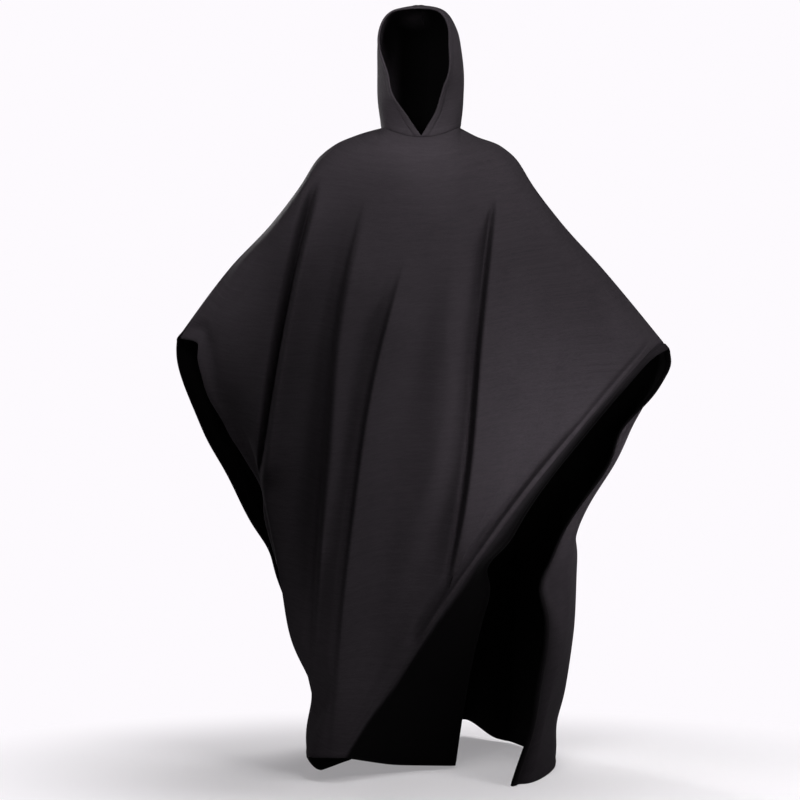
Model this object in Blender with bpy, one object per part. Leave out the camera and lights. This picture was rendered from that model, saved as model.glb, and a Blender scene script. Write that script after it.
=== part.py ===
"""A blanket hoodie: a wide hooded poncho of thick blanket cloth, in the hollow form it has when worn.

Metres, +Z up. +X is to the right as the front is seen, and the front faces -Y. The origin is the
middle of the neckline, where the garment is held up by its wearer. Heights in the tables are above
the floor, and become Z by taking away NECK_HEIGHT.

Each piece is one wall of cloth. Its outer face is a grid of points worked out from a short table,
a row for each line of cloth that hangs from the shoulders (or, on the hood, for each level), and
from a table of folds. Its inner face is the same grid moved in by the thickness of the cloth.
"""

import math
from collections import namedtuple

import bpy
import numpy as np

# Driving dimensions
NECK_HEIGHT = 1.49
CLOTH = 0.003
SEAM_GAP = 0.0003

# The neckline is an oval: half its width, how far it reaches forward and back, and its heights
NECK_HALF_WIDTH = 0.093
NECK_FORWARD = 0.100
NECK_BACK = 0.075
NECK_SIDE_HEIGHT = 1.497
NECK_FRONT_DIP = 0.033
NECK_BACK_RISE = 0.012

# How steeply the cut edge of the cloth slopes down into the neckline
NECK_EDGE_SLOPE = 0.6

# The cloth bulges over the arms and shoulders by this much, most at this share of the way down, and
# by this share of it at the wrists
ARM_BULGE = 0.040
ARM_SHARE = 0.06
WRIST_BULGE = 0.6

# Round the neckline the cloth lies like a smooth shoulder. It comes forward (or back) as far as the
# neckline does in the middle, and less to the sides, over this spread; it is rounded beside the neck
# by this height; and it settles from the real top edge to that form over this share of the way down
SHOULDER_SPREAD = 0.14
NECK_ROUNDING = 0.008
TOP_SETTLE = 0.055

# Below each wrist the side edge swings along X, inwards on the front and outwards on the back: how
# far on the left and on the right, and at what share of the way down the most. It does so over the
# outermost cells
WristSwing = namedtuple("WristSwing", "left right share")
FRONT_SWING = WristSwing(0.028, -0.016, 0.05)
BACK_SWING = WristSwing(-0.012, 0.036, 0.12)
WRIST_CELLS = 5

# The left of the front is tucked in just above the hem: how far, how high, and over what height
TUCK = 0.034
TUCK_HEIGHT = 0.20
TUCK_SPREAD = 0.08

PANEL_ROWS = 30
NECK_CELLS = 12
HOOD_ROWS = 14

# Rows of a panel's grid lie closer together at its top: this is their spacing there, the mean being 1
TOP_SPACING = 0.6

# The line along the arms and shoulders where front and back are sewn, from wrist to neck
SeamPoint = namedtuple("SeamPoint", "x height")
LEFT_SEAM = (
    SeamPoint(-0.571, 1.004),
    SeamPoint(-0.449, 1.168),
    SeamPoint(-0.343, 1.281),
    SeamPoint(-0.279, 1.366),
    SeamPoint(-0.244, 1.422),
    SeamPoint(-0.205, 1.456),
    SeamPoint(-0.157, 1.478),
    SeamPoint(-NECK_HALF_WIDTH, NECK_SIDE_HEIGHT),
)
RIGHT_SEAM = (
    SeamPoint(NECK_HALF_WIDTH, NECK_SIDE_HEIGHT),
    SeamPoint(0.127, 1.479),
    SeamPoint(0.195, 1.450),
    SeamPoint(0.226, 1.422),
    SeamPoint(0.261, 1.366),
    SeamPoint(0.325, 1.281),
    SeamPoint(0.426, 1.168),
    SeamPoint(0.581, 0.980),
)

# Lines of cloth, each hung from the point of the top edge at X = top. A line passes through three
# places on the way down (x, y, height), at a quarter, a half and three quarters of its length, and
# ends at the hem. cells is the number of grid cells between this line and the next.
HangLine = namedtuple("HangLine", "name top upper middle lower hem cells")
FRONT_LINES = (
    HangLine("left edge", -0.571, (-0.507, -0.055, 0.923), (-0.409, -0.030, 0.715),
             (-0.305, 0.040, 0.361), (-0.166, 0.085, 0.003), 4),
    HangLine("left wing", -0.425, (-0.427, -0.100, 0.985), (-0.392, -0.070, 0.742),
             (-0.306, -0.030, 0.367), (-0.230, -0.066, 0.003), 5),
    HangLine("left turn", -0.246, (-0.299, -0.120, 1.174), (-0.367, -0.120, 0.767),
             (-0.316, -0.140, 0.402), (-0.262, -0.130, 0.041), 5),
    HangLine("left of neck", -NECK_HALF_WIDTH, (-0.174, -0.140, 1.154), (-0.210, -0.150, 0.819),
             (-0.245, -0.180, 0.384), (-0.256, -0.190, 0.054), 6),
    HangLine("middle", 0.0, (-0.049, -0.165, 1.131), (-0.142, -0.170, 0.770),
             (-0.200, -0.205, 0.364), (-0.240, -0.222, 0.058), 6),
    HangLine("right of neck", NECK_HALF_WIDTH, (0.056, -0.165, 1.097), (0.035, -0.190, 0.768),
             (-0.110, -0.225, 0.335), (-0.218, -0.240, 0.060), 4),
    HangLine("right shoulder", 0.198, (0.142, -0.130, 1.109), (0.100, -0.170, 0.734),
             (-0.064, -0.230, 0.328), (-0.200, -0.248, 0.061), 3),
    HangLine("right wing", 0.398, (0.313, -0.100, 0.973), (0.178, -0.170, 0.670),
             (-0.030, -0.238, 0.325), (-0.185, -0.250, 0.061), 3),
    HangLine("ridge", 0.553, (0.357, -0.120, 0.796), (0.174, -0.200, 0.578),
             (-0.002, -0.240, 0.328), (-0.172, -0.250, 0.061), 2),
    HangLine("turned back", 0.568, (0.383, -0.078, 0.796), (0.200, -0.160, 0.570),
             (0.064, -0.175, 0.320), (-0.060, -0.130, 0.025), 2),
    HangLine("right edge", 0.581, (0.409, -0.050, 0.807), (0.227, -0.100, 0.572),
             (0.131, -0.100, 0.317), (0.079, -0.040, 0.007), 0),
)
BACK_LINES = (
    HangLine("left edge", -0.571, (-0.538, 0.040, 0.862), (-0.440, 0.080, 0.643),
             (-0.310, 0.110, 0.340), (-0.235, 0.140, 0.020), 4),
    HangLine("left wing", -0.425, (-0.410, 0.130, 0.930), (-0.360, 0.170, 0.660),
             (-0.290, 0.220, 0.350), (-0.205, 0.270, 0.030), 5),
    HangLine("left shoulder", -0.246, (-0.240, 0.155, 1.080), (-0.225, 0.200, 0.730),
             (-0.190, 0.270, 0.370), (-0.130, 0.360, 0.030), 5),
    HangLine("left of neck", -NECK_HALF_WIDTH, (-0.100, 0.165, 1.120), (-0.100, 0.210, 0.750),
             (-0.085, 0.300, 0.380), (-0.040, 0.405, 0.035), 6),
    HangLine("middle", 0.0, (0.000, 0.165, 1.130), (0.000, 0.210, 0.760),
             (0.010, 0.310, 0.390), (0.040, 0.420, 0.040), 6),
    HangLine("right of neck", NECK_HALF_WIDTH, (0.100, 0.165, 1.120), (0.100, 0.215, 0.750),
             (0.110, 0.310, 0.380), (0.120, 0.405, 0.045), 5),
    HangLine("right shoulder", 0.226, (0.240, 0.155, 1.080), (0.245, 0.205, 0.730),
             (0.225, 0.260, 0.370), (0.200, 0.330, 0.010), 5),
    HangLine("right wing", 0.410, (0.400, 0.130, 0.930), (0.360, 0.140, 0.670),
             (0.320, 0.150, 0.350), (0.275, 0.190, 0.005), 4),
    HangLine("right side", 0.540, (0.503, 0.030, 0.815), (0.385, 0.020, 0.595),
             (0.358, 0.000, 0.310), (0.315, 0.000, 0.003), 3),
    HangLine("right turn", 0.565, (0.490, -0.020, 0.780), (0.365, -0.060, 0.560),
             (0.330, -0.120, 0.280), (0.262, -0.205, 0.003), 3),
    HangLine("right edge", 0.581, (0.439, -0.060, 0.737), (0.302, -0.120, 0.514),
             (0.278, -0.200, 0.260), (0.204, -0.287, 0.003), 0),
)

# Small bends of the lines: near one line, and within some cells of it, the cloth lies this far to the
# right of its smooth course at a height, and fades back over the spread above and below
Nudge = namedtuple("Nudge", "line height right spread cells")
FRONT_NUDGES = (
    Nudge("right edge", 0.475, -0.028, 0.040, 4),
    Nudge("left edge", 0.860, -0.018, 0.060, 4),
    Nudge("left edge", 0.650, 0.015, 0.050, 4),
)
BACK_NUDGES = (
    Nudge("right edge", 0.940, 0.007, 0.030, 5),
    Nudge("right edge", 0.790, -0.018, 0.070, 7),
    Nudge("right edge", 0.790, -0.014, 0.060, 3),
    Nudge("right side", 0.550, -0.012, 0.035, 4),
    Nudge("right edge", 0.430, -0.019, 0.050, 3),
    Nudge("right turn", 0.150, -0.009, 0.100, 4),
    Nudge("right side", 0.100, -0.009, 0.050, 4),
    Nudge("left edge", 0.760, -0.006, 0.060, 4),
    Nudge("left edge", 0.500, 0.012, 0.050, 4),
)

# Folds stand out from a panel along a line through three places. From the left the cloth rises
# steeply to the crest, over the width rise, and falls off gently to its right, over the width fall.
# It starts and ends over these shares of its height.
FOLD_START = 0.35
FOLD_END = 0.15
Fold = namedtuple("Fold", "x_top h_top x_mid h_mid x_low h_low depth rise fall")
FRONT_FOLDS = (
    Fold(-0.249, 1.360, -0.308, 1.117, -0.374, 0.681, 0.030, 0.040, 0.110),
    Fold(-0.133, 1.337, -0.206, 0.987, -0.247, 0.236, 0.045, 0.050, 0.110),
    Fold(-0.042, 1.176, -0.142, 0.770, -0.215, 0.093, 0.025, 0.035, 0.120),
    Fold(0.178, 1.326, 0.112, 0.833, 0.080, 0.560, 0.040, 0.050, 0.200),
)
BACK_FOLDS = (
    Fold(-0.190, 1.250, -0.235, 0.730, -0.190, 0.030, 0.030, 0.050, 0.090),
    Fold(-0.060, 1.200, -0.075, 0.700, -0.030, 0.030, 0.035, 0.050, 0.100),
    Fold(0.100, 1.250, 0.085, 0.720, 0.110, 0.030, 0.035, 0.050, 0.100),
    Fold(0.230, 1.230, 0.235, 0.730, 0.220, 0.030, 0.030, 0.050, 0.090),
)

# Levels of the hood, from the neckline to the crown. Each gives the rim of the face opening, the
# side (x, y, height), and the middle of the back (y, height), for a hood that faces straight ahead
HoodLevel = namedtuple("HoodLevel", "rim side back")
HOOD_LEVELS = (
    HoodLevel((0.047, -0.112, 1.540), (0.100, 0.000, 1.555), (0.095, 1.560)),
    HoodLevel((0.068, -0.118, 1.605), (0.101, 0.010, 1.615), (0.120, 1.620)),
    HoodLevel((0.077, -0.120, 1.670), (0.095, 0.012, 1.675), (0.128, 1.675)),
    HoodLevel((0.073, -0.118, 1.718), (0.084, 0.010, 1.724), (0.115, 1.712)),
    HoodLevel((0.048, -0.112, 1.747), (0.056, 0.005, 1.766), (0.085, 1.742)),
    HoodLevel((0.000, -0.108, 1.755), (0.000, 0.000, 1.781), (0.055, 1.755)),
)

# Each level of the hood runs from the rim through the side and a corner to the middle of the back:
# how far along it these lie, and the corner's share of the side's x, and of the way on to the back
HOOD_PLACES = (0.0, 0.5, 0.78, 1.0)
CORNER_WIDTH = 0.74
CORNER_BACK = 0.7

# The hood looks this far to the left, and turns to it over this much height above the neckline
HOOD_TURN = math.radians(-8.0)
HOOD_TURN_START = 0.01
HOOD_TURN_HEIGHT = 0.08

BLANKET = (0.030, 0.028, 0.030, 1.0)
BLANKET_ROUGHNESS = 0.95

QUARTERS = (0.0, 0.25, 0.5, 0.75, 1.0)


def smooth_step(share):
    share = np.clip(share, 0.0, 1.0)
    return share * share * (3.0 - 2.0 * share)


def slopes_of(places, values, steady):
    """The slope of a smooth curve through values, at each of them.

    A steady curve never swings past its values, so it can turn sharply at one of them.
    """
    steps = np.diff(places)[:, None]
    slopes = np.diff(values, axis=0) / steps
    before, after = slopes[:-1], slopes[1:]
    if steady:
        alike = before * after > 0
        product = np.where(alike, before * after, 1.0)
        total = np.where(alike, before + after, 1.0)
        inner = np.where(alike, 2.0 * product / total, 0.0)
        return np.concatenate([slopes[:1], inner, slopes[-1:]])
    inner = (before * steps[1:] + after * steps[:-1]) / (steps[:-1] + steps[1:])
    first = 1.5 * slopes[:1] - 0.5 * inner[:1]
    last = 1.5 * slopes[-1:] - 0.5 * inner[-1:]
    return np.concatenate([first, inner, last])


def smooth_through(places, values, wanted, steady=False):
    """Rows of values read at the wanted places, on a smooth curve through all of them."""
    places = np.asarray(places, float)
    shape = np.shape(values)[1:]
    values = np.asarray(values, float).reshape(len(places), -1)
    wanted = np.asarray(wanted, float)
    slopes = slopes_of(places, values, steady)
    span = np.clip(np.searchsorted(places, wanted, side="right") - 1, 0, len(places) - 2)
    width = (places[span + 1] - places[span])[:, None]
    t = (wanted[:, None] - places[span][:, None]) / width
    read = (2 * t**3 - 3 * t**2 + 1) * values[span] + (t**3 - 2 * t**2 + t) * width * slopes[span]
    read += (3 * t**2 - 2 * t**3) * values[span + 1] + (t**3 - t**2) * width * slopes[span + 1]
    return read.reshape((len(wanted),) + shape)


def unit(vectors):
    return vectors / np.linalg.norm(vectors, axis=-1, keepdims=True)


def neckline(x, forward):
    """The point of the neckline at X = x, on its front half or its back half."""
    share = math.sqrt(max(0.0, 1.0 - (x / NECK_HALF_WIDTH) ** 2))
    reach = -NECK_FORWARD if forward else NECK_BACK
    lift = -NECK_FRONT_DIP if forward else NECK_BACK_RISE
    return np.array((x, reach * share, NECK_SIDE_HEIGHT + lift * share**2))


def neck_inward(x, forward):
    """Which way the cloth's cut edge goes from outer to inner face, at the neckline."""
    share = math.sqrt(max(0.0, 1.0 - (x / NECK_HALF_WIDTH) ** 2))
    back = share if forward else -share
    return unit(np.array((-x / NECK_HALF_WIDTH, back, -NECK_EDGE_SLOPE)))


def neck_columns():
    """X of each grid column along the neckline, from its left side to its right."""
    return -NECK_HALF_WIDTH * np.cos(np.linspace(0.0, math.pi, NECK_CELLS + 1))


def seam_height(x):
    line = LEFT_SEAM if x < 0 else RIGHT_SEAM
    return smooth_through([p.x for p in line], [[p.height] for p in line], [x])[0, 0]


def top_edge(x, forward):
    """A panel's top edge at X = x: its point, and which way its thickness goes."""
    if abs(x) <= NECK_HALF_WIDTH:
        return neckline(x, forward), neck_inward(x, forward)
    rise = (seam_height(x + 0.002) - seam_height(x - 0.002)) / 0.004
    return np.array((x, 0.0, seam_height(x))), unit(np.array((rise, 0.0, -1.0)))


def shoulder_top(x, forward):
    """Where the cloth over the shoulders and round the neck would start, were it smooth there."""
    reach = -NECK_FORWARD if forward else NECK_BACK
    middle = NECK_SIDE_HEIGHT + (-NECK_FRONT_DIP if forward else NECK_BACK_RISE)
    side = NECK_SIDE_HEIGHT - NECK_ROUNDING
    left = [(p.x, p.height) for p in LEFT_SEAM[:-1]]
    right = [(p.x, p.height) for p in RIGHT_SEAM[1:]]
    line = left + [(-NECK_HALF_WIDTH, side), (0.0, middle), (NECK_HALF_WIDTH, side)] + right
    heights = smooth_through([p[0] for p in line], [[p[1]] for p in line], x)[:, 0]
    return np.stack([x, reach * np.exp(-((x / SHOULDER_SPREAD) ** 2)), heights], axis=1)


def nudge(grid, columns, named, nudges):
    for bend in nudges:
        near = smooth_step(1.0 - np.abs(columns - named[bend.line]) / bend.cells)
        level = np.exp(-(((grid[:, :, 2] - bend.height) / bend.spread) ** 2))
        grid[:, :, 0] += bend.right * near[:, None] * level


def fold_offsets(folds, x, height):
    """How far the folds stand out at places of a panel."""
    offsets = np.zeros_like(x)
    for fold in folds:
        places = (fold.h_low, fold.h_mid, fold.h_top)
        crest = smooth_through(places, [[fold.x_low], [fold.x_mid], [fold.x_top]], height.ravel())
        across = x - crest.reshape(x.shape)
        profile = np.where(
            across < 0,
            smooth_step(1.0 + across / fold.rise),
            np.clip(1.0 - across / fold.fall, 0.0, 1.0) ** 2,
        )
        reach = fold.h_top - fold.h_low
        fade = smooth_step((fold.h_top - height) / (FOLD_START * reach))
        fade = fade * smooth_step(1.0 + (height - fold.h_low) / (FOLD_END * reach))
        offsets = offsets + fold.depth * profile * fade
    return offsets


def panel_grid(lines, folds, forward, folded_from, folded_to):
    """The outer points of a panel, column by column, and the inward way along its top edge."""
    marks = np.concatenate([[0], np.cumsum([line.cells for line in lines[:-1]])])
    named = {line.name: mark for line, mark in zip(lines, marks)}
    columns = np.arange(marks[-1] + 1)
    tops = smooth_through(marks, [[line.top] for line in lines], columns)[:, 0]
    smooth_tops = shoulder_top(tops, forward)
    neck_start = named["left of neck"]
    tops[neck_start : neck_start + NECK_CELLS + 1] = neck_columns()
    tops[0] = lines[0].top
    tops[-1] = lines[-1].top
    edges = [top_edge(x, forward) for x in tops]
    hung = [(line.upper, line.middle, line.lower, line.hem) for line in lines]
    lower = smooth_through(marks, hung, columns, steady=True)
    knots = np.concatenate([smooth_tops[:, None], lower], axis=1)
    rows = np.linspace(0.0, 1.0, PANEL_ROWS + 1)
    rows = rows * (TOP_SPACING + (1.0 - TOP_SPACING) * rows)
    grid = smooth_through(QUARTERS, knots.transpose(1, 0, 2), rows).transpose(1, 0, 2)
    settling = np.clip(1.0 - rows / TOP_SETTLE, 0.0, 1.0) ** 2
    away = np.array([point for point, _ in edges]) - smooth_tops
    grid += away[:, None] * settling[None, :, None]
    out = -1.0 if forward else 1.0
    bulge = ARM_BULGE * (rows / ARM_SHARE) * np.exp(1.0 - rows / ARM_SHARE)
    ends = smooth_step(1.0 - np.minimum(columns, columns[::-1]) / WRIST_CELLS)
    grid[:, :, 1] += out * bulge[None, :] * (1.0 - (1.0 - WRIST_BULGE) * ends)[:, None]
    swing = FRONT_SWING if forward else BACK_SWING
    swung = (rows / swing.share) * np.exp(1.0 - rows / swing.share)
    grid[:, :, 0] += (ends * np.where(tops < 0, swing.left, swing.right))[:, None] * swung[None, :]
    if forward:
        tucked = smooth_step((neck_start + NECK_CELLS - columns) / NECK_CELLS)[:, None]
        level = (grid[:, :, 2] - TUCK_HEIGHT) / TUCK_SPREAD
        grid[:, :, 0] += TUCK * tucked * np.exp(-(level**2))
    nudge(grid, columns, named, FRONT_NUDGES if forward else BACK_NUDGES)
    start, full = (named[name] for name in folded_from)
    fading, gone = (named[name] for name in folded_to)
    folded = smooth_step((columns - start) / (full - start))
    folded = folded * smooth_step((gone - columns) / (gone - fading))
    grid[:, :, 1] += out * folded[:, None] * fold_offsets(folds, grid[:, :, 0], grid[:, :, 2])
    grid[:, 0, 1] += out * SEAM_GAP / 2
    return grid, np.array([inward for _, inward in edges])


def grid_normals(grid):
    """Outward unit normals of a grid whose columns run left to right and rows run down its front."""
    across = np.gradient(grid, axis=0)
    down = np.gradient(grid, axis=1)
    return unit(np.cross(down, across))


def cloth_wall(name, grid, inward):
    """A closed wall: the grid as its outer face, and the same grid moved along inward."""
    columns, rows = grid.shape[:2]
    inner = grid + CLOTH * inward
    points = np.concatenate([grid.reshape(-1, 3), inner.reshape(-1, 3)])
    points[:, 2] -= NECK_HEIGHT
    index = np.arange(columns * rows).reshape(columns, rows)
    faces = []
    for c in range(columns - 1):
        for r in range(rows - 1):
            corners = (index[c, r], index[c, r + 1], index[c + 1, r + 1], index[c + 1, r])
            faces.append(corners)
            faces.append(tuple(i + index.size for i in reversed(corners)))
    rim = list(index[:, 0]) + list(index[-1, 1:]) + list(index[-2::-1, -1]) + list(index[0, -2:0:-1])
    for here, after in zip(rim, rim[1:] + rim[:1]):
        faces.append((here, after, after + index.size, here + index.size))
    mesh = bpy.data.meshes.new(name)
    mesh.from_pydata(points.tolist(), [], [[int(i) for i in face] for face in faces])
    mesh.validate()
    mesh.shade_smooth()
    mesh.set_sharp_from_angle(angle=math.radians(50))
    return bpy.data.objects.new(name, mesh)


def panel(name, lines, folds, forward, folded_from, folded_to):
    grid, top_inward = panel_grid(lines, folds, forward, folded_from, folded_to)
    if not forward:
        grid, top_inward = grid[::-1], top_inward[::-1]
    inward = -grid_normals(grid)
    inward[:, 0] = top_inward
    return cloth_wall(name, grid, inward)


def hood_grid():
    """The outer points of the hood's half at +X facing ahead, and their inward directions."""
    half = NECK_CELLS // 2
    xs = neck_columns()[half:]
    xs[0] = 0.0
    bottom = [neckline(x, True) for x in xs] + [neckline(x, False) for x in xs[-2::-1]]
    inward = [neck_inward(x, True) for x in xs] + [neck_inward(x, False) for x in xs[-2::-1]]
    bottom, inward = np.array(bottom), np.array(inward)
    along = unit(np.gradient(bottom, axis=0))
    bottom = bottom + SEAM_GAP * unit(np.cross(along, inward)) * np.sign(
        np.cross(along, inward)[:, 2:]
    )
    columns = np.linspace(0.0, 1.0, NECK_CELLS + 1)
    levels = [bottom]
    for level in HOOD_LEVELS:
        side = np.array(level.side)
        back = np.array((0.0,) + level.back)
        corner = (1.0 - CORNER_BACK) * side + CORNER_BACK * back
        corner[0] = CORNER_WIDTH * side[0]
        section = (level.rim, side, corner, back)
        levels.append(smooth_through(HOOD_PLACES, section, columns))
    marks = np.linspace(0.0, 1.0, len(levels))
    rows = np.linspace(1.0, 0.0, HOOD_ROWS + 1)
    grid = smooth_through(marks, np.array(levels), rows).transpose(1, 0, 2)
    return grid, inward


def hood_half(name, sign):
    grid, bottom_inward = hood_grid()
    directions = -grid_normals(grid)
    directions[-1, :, 0] = 0.0
    directions[:, 0, 0] = 0.0
    directions[-1, 0] = (0.0, -1.0, -1.0)
    directions = unit(directions)
    directions[:, -1] = bottom_inward
    grid[:, :, 0] = np.maximum(grid[:, :, 0], 0.0) + SEAM_GAP / 2
    above_neck = grid[:, :, 2] - NECK_SIDE_HEIGHT - HOOD_TURN_START
    turned = HOOD_TURN * smooth_step(above_neck / HOOD_TURN_HEIGHT)
    for vectors in (grid, directions):
        vectors[:, :, 0] *= sign
        x = vectors[:, :, 0] * np.cos(turned) - vectors[:, :, 1] * np.sin(turned)
        y = vectors[:, :, 0] * np.sin(turned) + vectors[:, :, 1] * np.cos(turned)
        vectors[:, :, 0], vectors[:, :, 1] = x, y
    if sign < 0:
        grid, directions = grid[::-1], directions[::-1]
    return cloth_wall(name, grid, directions)


def blanket_material(name, tint):
    material = bpy.data.materials.new(name)
    material.use_nodes = True
    shader = material.node_tree.nodes["Principled BSDF"]
    shader.inputs["Base Color"].default_value = tuple(tint * c for c in BLANKET[:3]) + (1.0,)
    shader.inputs["Roughness"].default_value = BLANKET_ROUGHNESS
    shader.inputs["Metallic"].default_value = 0.0
    return material


def main():
    for thing in list(bpy.data.objects):
        bpy.data.objects.remove(thing)
    pieces = bpy.data.collections.new("blanket_hoodie")
    bpy.context.scene.collection.children.link(pieces)
    made = (
        panel("front", FRONT_LINES, FRONT_FOLDS, True,
              ("left wing", "left turn"), ("right wing", "ridge")),
        panel("back", BACK_LINES, BACK_FOLDS, False,
              ("left edge", "left wing"), ("right wing", "right side")),
        hood_half("hood_left", -1.0),
        hood_half("hood_right", 1.0),
    )
    for piece, tint in zip(made, (1.0, 0.95, 1.05, 1.05)):
        piece.data.materials.append(blanket_material(piece.name + "_blanket", tint))
        pieces.objects.link(piece)


main()
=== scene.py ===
"""The looks of the blanket hoodie: thick dark blanket cloth, its folds, hems and seams.

Metres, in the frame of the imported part: +X to the right as the front is seen, the front faces -Y,
+Z up, the origin in the middle of the neckline. Heights in the tables are above the floor.
"""

import math
from collections import namedtuple

import bpy
import numpy as np
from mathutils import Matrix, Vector

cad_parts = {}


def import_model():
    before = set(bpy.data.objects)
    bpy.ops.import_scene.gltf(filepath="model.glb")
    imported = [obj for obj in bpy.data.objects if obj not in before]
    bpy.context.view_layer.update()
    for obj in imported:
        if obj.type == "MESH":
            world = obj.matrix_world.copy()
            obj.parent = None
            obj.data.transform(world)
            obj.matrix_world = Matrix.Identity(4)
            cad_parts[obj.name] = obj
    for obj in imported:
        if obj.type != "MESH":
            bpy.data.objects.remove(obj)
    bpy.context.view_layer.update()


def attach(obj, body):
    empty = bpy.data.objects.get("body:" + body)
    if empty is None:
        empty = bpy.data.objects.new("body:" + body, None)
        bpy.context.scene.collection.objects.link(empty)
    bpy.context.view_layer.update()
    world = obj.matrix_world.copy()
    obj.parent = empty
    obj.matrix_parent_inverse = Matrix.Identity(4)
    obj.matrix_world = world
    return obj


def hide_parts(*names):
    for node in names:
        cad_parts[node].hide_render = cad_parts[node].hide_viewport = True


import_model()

# ---- Sizes ----

NECK_HEIGHT = 1.49
CLOTH = 0.003

# The dressed pieces lap by this much at a seam, so that no light shows between them
SEAM_LAP = 0.0002

# The neckline is an oval, lower in front and higher behind. The cloth's thickness there goes in and
# down. NECK_CELLS cells of a panel's table run along each half of it.
NECK_HALF_WIDTH = 0.093
NECK_FORWARD = 0.100
NECK_BACK = 0.075
NECK_SIDE_HEIGHT = 1.497
NECK_FRONT_DIP = 0.033
NECK_BACK_RISE = 0.012
NECK_EDGE_SLOPE = 0.6
NECK_CELLS = 12

# The panels hang as from a smooth top, this wide over the shoulders and this much lower beside the
# neck. They come from their real top edge over the share TOP_SETTLE of the way down.
SHOULDER_SPREAD = 0.14
NECK_ROUNDING = 0.008
TOP_SETTLE = 0.055
SLOPE_STEP = 0.002

# Below its top edge a panel rounds out over the arms, most at the share ARM_SHARE of the way down,
# and WRIST_BULGE times as much at the wrists, which are WRIST_CELLS cells wide
ARM_BULGE = 0.040
ARM_SHARE = 0.06
WRIST_BULGE = 0.6
WRIST_CELLS = 5

# Each wrist also swings to the right by this, most at this share of the way down
WristSwing = namedtuple("WristSwing", "left right share")
FRONT_SWING = WristSwing(0.028, -0.016, 0.05)
BACK_SWING = WristSwing(-0.012, 0.036, 0.12)

# The left part of the front lies further to the right round this height
TUCK = 0.034
TUCK_HEIGHT = 0.20
TUCK_SPREAD = 0.08

# A panel's rows lie closer together at the top, and its columns at its hung lines
PANEL_ROWS = 188
TOP_SPACING = 0.6
CROWDING = 0.5
QUARTERS = (0.0, 0.25, 0.5, 0.75, 1.0)

# Columns are drawn to each fold's line, by DRAW_LIMIT cells at most, and stay DRAW_APART cells apart.
# That starts DRAW_PAST beyond the fold's ends, is full after the lengths DRAW_TOP and DRAW_LOW, and
# is smoothed over DRAW_ROWS rows.
DRAW_LIMIT = 4.9
DRAW_APART = 0.7
DRAW_PAST = 0.05
DRAW_TOP = 0.15
DRAW_LOW = 0.10
DRAW_ROWS = 11

# The seams over the shoulders and arms, as places (x, height)
LEFT_SEAM = (
    (-0.571, 1.004), (-0.449, 1.168), (-0.343, 1.281), (-0.279, 1.366),
    (-0.244, 1.422), (-0.205, 1.456), (-0.157, 1.478), (-NECK_HALF_WIDTH, NECK_SIDE_HEIGHT),
)
RIGHT_SEAM = (
    (NECK_HALF_WIDTH, NECK_SIDE_HEIGHT), (0.127, 1.479), (0.195, 1.450), (0.226, 1.422),
    (0.261, 1.366), (0.325, 1.281), (0.426, 1.168), (0.581, 0.980),
)

# Lines of cloth hung from the top edge, as in the part: cells is their spacing there, and fine the
# number of columns of the dressed cloth in each cell
HangLine = namedtuple("HangLine", "name top upper middle lower hem cells fine")
FRONT_LINES = (
    HangLine("left edge", -0.571, (-0.507, -0.055, 0.923), (-0.409, -0.030, 0.715),
             (-0.305, 0.040, 0.361), (-0.166, 0.085, 0.003), 4, 6),
    HangLine("left wing", -0.425, (-0.427, -0.100, 0.985), (-0.392, -0.070, 0.742),
             (-0.306, -0.030, 0.367), (-0.230, -0.066, 0.003), 5, 6),
    HangLine("left turn", -0.246, (-0.299, -0.120, 1.174), (-0.367, -0.120, 0.767),
             (-0.316, -0.140, 0.402), (-0.262, -0.130, 0.041), 5, 6),
    HangLine("left of neck", -NECK_HALF_WIDTH, (-0.174, -0.140, 1.154), (-0.210, -0.150, 0.819),
             (-0.245, -0.180, 0.384), (-0.256, -0.190, 0.054), 6, 5),
    HangLine("middle", 0.0, (-0.049, -0.165, 1.131), (-0.142, -0.170, 0.770),
             (-0.200, -0.205, 0.364), (-0.240, -0.222, 0.058), 6, 5),
    HangLine("right of neck", NECK_HALF_WIDTH, (0.056, -0.165, 1.097), (0.035, -0.190, 0.768),
             (-0.110, -0.225, 0.335), (-0.218, -0.240, 0.060), 4, 5),
    HangLine("right shoulder", 0.198, (0.142, -0.130, 1.109), (0.100, -0.170, 0.734),
             (-0.064, -0.230, 0.328), (-0.200, -0.248, 0.061), 3, 9),
    HangLine("right wing", 0.398, (0.313, -0.100, 0.973), (0.178, -0.170, 0.670),
             (-0.030, -0.238, 0.325), (-0.185, -0.250, 0.061), 3, 9),
    HangLine("ridge", 0.553, (0.357, -0.120, 0.796), (0.174, -0.200, 0.578),
             (-0.002, -0.240, 0.328), (-0.172, -0.250, 0.061), 2, 8),
    HangLine("turned back", 0.568, (0.383, -0.078, 0.796), (0.200, -0.160, 0.570),
             (0.064, -0.175, 0.320), (-0.060, -0.130, 0.025), 2, 6),
    HangLine("right edge", 0.581, (0.409, -0.050, 0.807), (0.227, -0.100, 0.572),
             (0.131, -0.100, 0.317), (0.079, -0.040, 0.007), 0, 0),
)
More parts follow.
